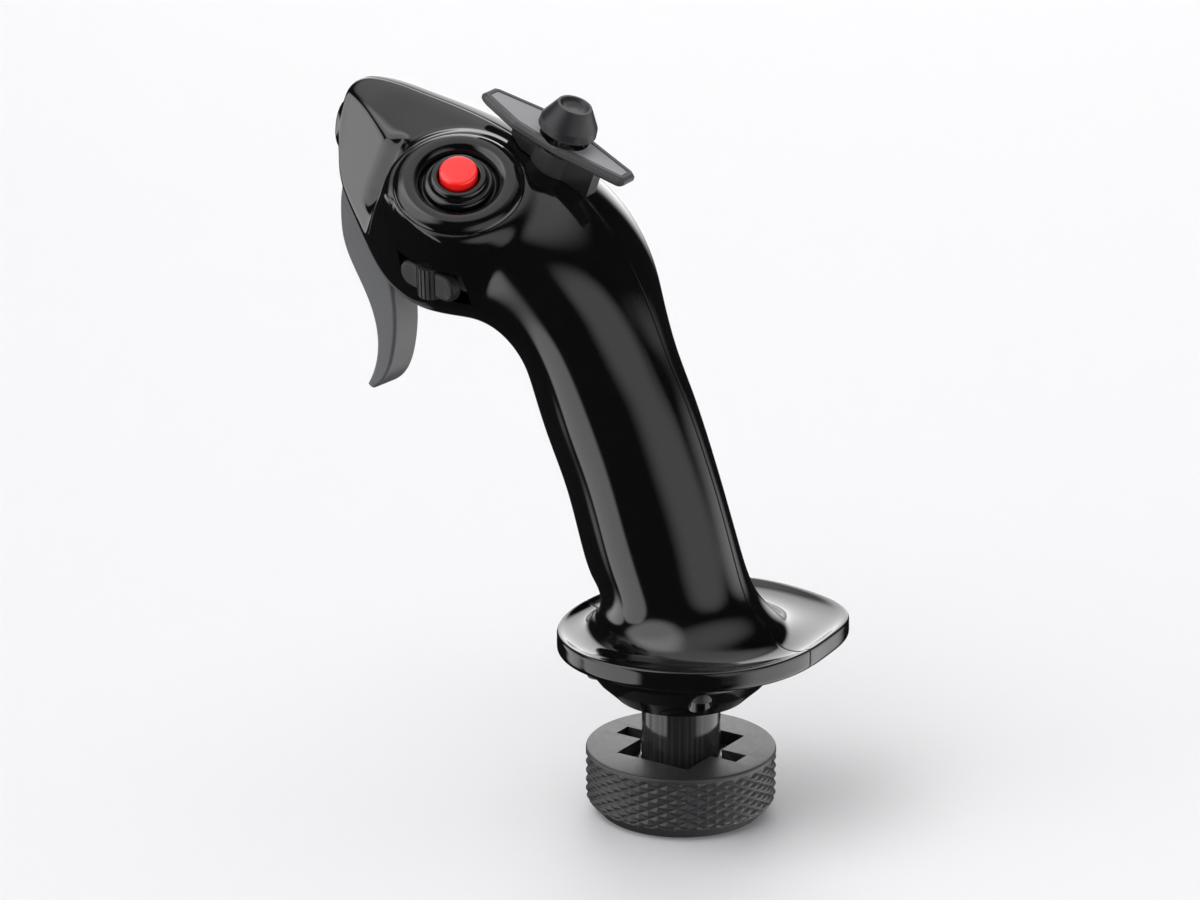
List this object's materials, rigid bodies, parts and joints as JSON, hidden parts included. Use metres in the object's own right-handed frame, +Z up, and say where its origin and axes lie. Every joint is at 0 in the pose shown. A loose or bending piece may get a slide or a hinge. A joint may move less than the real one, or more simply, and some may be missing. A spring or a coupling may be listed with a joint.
{
  "type": "flight joystick",
  "caption": "Right-handed flight-stick grip with finger trigger, red thumb button, hat switch, side rocker and a knurled quick-release nut under its stem.",
  "frame": {"origin": "centre of the locking nut's threaded hole, on the plane of its lower face", "axes": "+Z up along the stem, +Y forward to the trigger, +X to the grip's right side"},
  "size_m": [0.0715, 0.1334, 0.1715],
  "materials": {
    "gloss_shell": "polished piano black, moulded",
    "satin_black": "fine satin texture",
    "grey_plastic": "satin, light texture",
    "red_gloss": "gloss, moulded",
    "inlay_silver": "satin silver-grey paint",
    "nut_dark": "satin black coating over knurling",
    "stem_gloss": "gloss black coating",
    "steel": "satin",
    "black_steel": "black oxide",
    "brass": "gold flashed contacts",
    "board": "green solder mask",
    "cable": "matt sleeve"
  },
  "bodies": {
    "grip": {"left_shell": "gloss_shell", "right_shell": "gloss_shell", "shell_screws": "black_steel", "base_cover": "gloss_shell", "base_screws": "black_steel", "stem_tube": "stem_gloss", "stem_screws": "black_steel", "stem_key": "steel", "connector_body": "satin_black", "contact_pins": "brass", "signal_cable": "cable", "main_board": "board", "board_components": "satin_black", "thumb_bezel": "gloss_shell", "thumb_switch": "satin_black", "button_bracket": "satin_black", "hat_plate": "satin_black", "hat_inlay": "inlay_silver", "hat_housing": "satin_black", "hat_board": "board", "hat_switches": "satin_black", "trigger_pin": "steel", "trigger_bracket": "satin_black", "trigger_spring": "steel", "trigger_switch": "satin_black", "rocker_pin": "steel", "rocker_housing": "satin_black", "rocker_switches": "satin_black"},
    "nut_carrier": {"thrust_washer": "steel"},
    "nut": {"lock_nut": "nut_dark"},
    "thumb_button": {"red_button": "red_gloss"},
    "hat_ring": {"hat_gimbal": "grey_plastic"},
    "hat": {"hat_stick": "steel", "hat_cap": "satin_black"},
    "trigger": {"trigger": "grey_plastic"},
    "rocker": {"rocker_cap": "satin_black"}
  },
  "joints": [
    {"name": "nut_lift", "type": "slide", "parent": "grip", "child": "nut_carrier", "axis": [0, 0, 1], "range_m": [0, 0.0115]},
    {"name": "nut_spin", "type": "hinge", "parent": "nut_carrier", "child": "nut", "pos_m": [0, 0, 0], "axis": [0, 0, 1], "continuous": true},
    {"name": "thumb_press", "type": "slide", "parent": "grip", "child": "thumb_button", "axis": [0.49, 0.322, -0.81], "range_m": [0, 0.0016], "stiffness_N_per_m": 800, "springref_m": -0.0005},
    {"name": "hat_roll", "type": "hinge", "parent": "grip", "child": "hat_ring", "pos_m": [0.00154, 0.03637, 0.15624], "axis": [-0.0339, 0.9208, 0.3886], "range_deg": [-9, 9], "stiffness_Nm_per_rad": 0.4},
    {"name": "hat_pitch", "type": "hinge", "parent": "hat_ring", "child": "hat", "pos_m": [0.00154, 0.03637, 0.15624], "axis": [-0.9962, 0, -0.0869], "range_deg": [-9, 9], "stiffness_Nm_per_rad": 0.4},
    {"name": "trigger_pull", "type": "hinge", "parent": "grip", "child": "trigger", "pos_m": [0, 0.087, 0.148], "axis": [-1, 0, 0], "range_deg": [0, 9], "stiffness_Nm_per_rad": 0.6, "springref_deg": -8.59, "deforming": ["trigger_spring"]},
    {"name": "rocker_tilt", "type": "hinge", "parent": "grip", "child": "rocker", "pos_m": [-0.02172, 0.05351, 0.13048], "axis": [0.1977, 0.1168, -0.9733], "range_deg": [-8, 8], "stiffness_Nm_per_rad": 0.3}
  ]
}
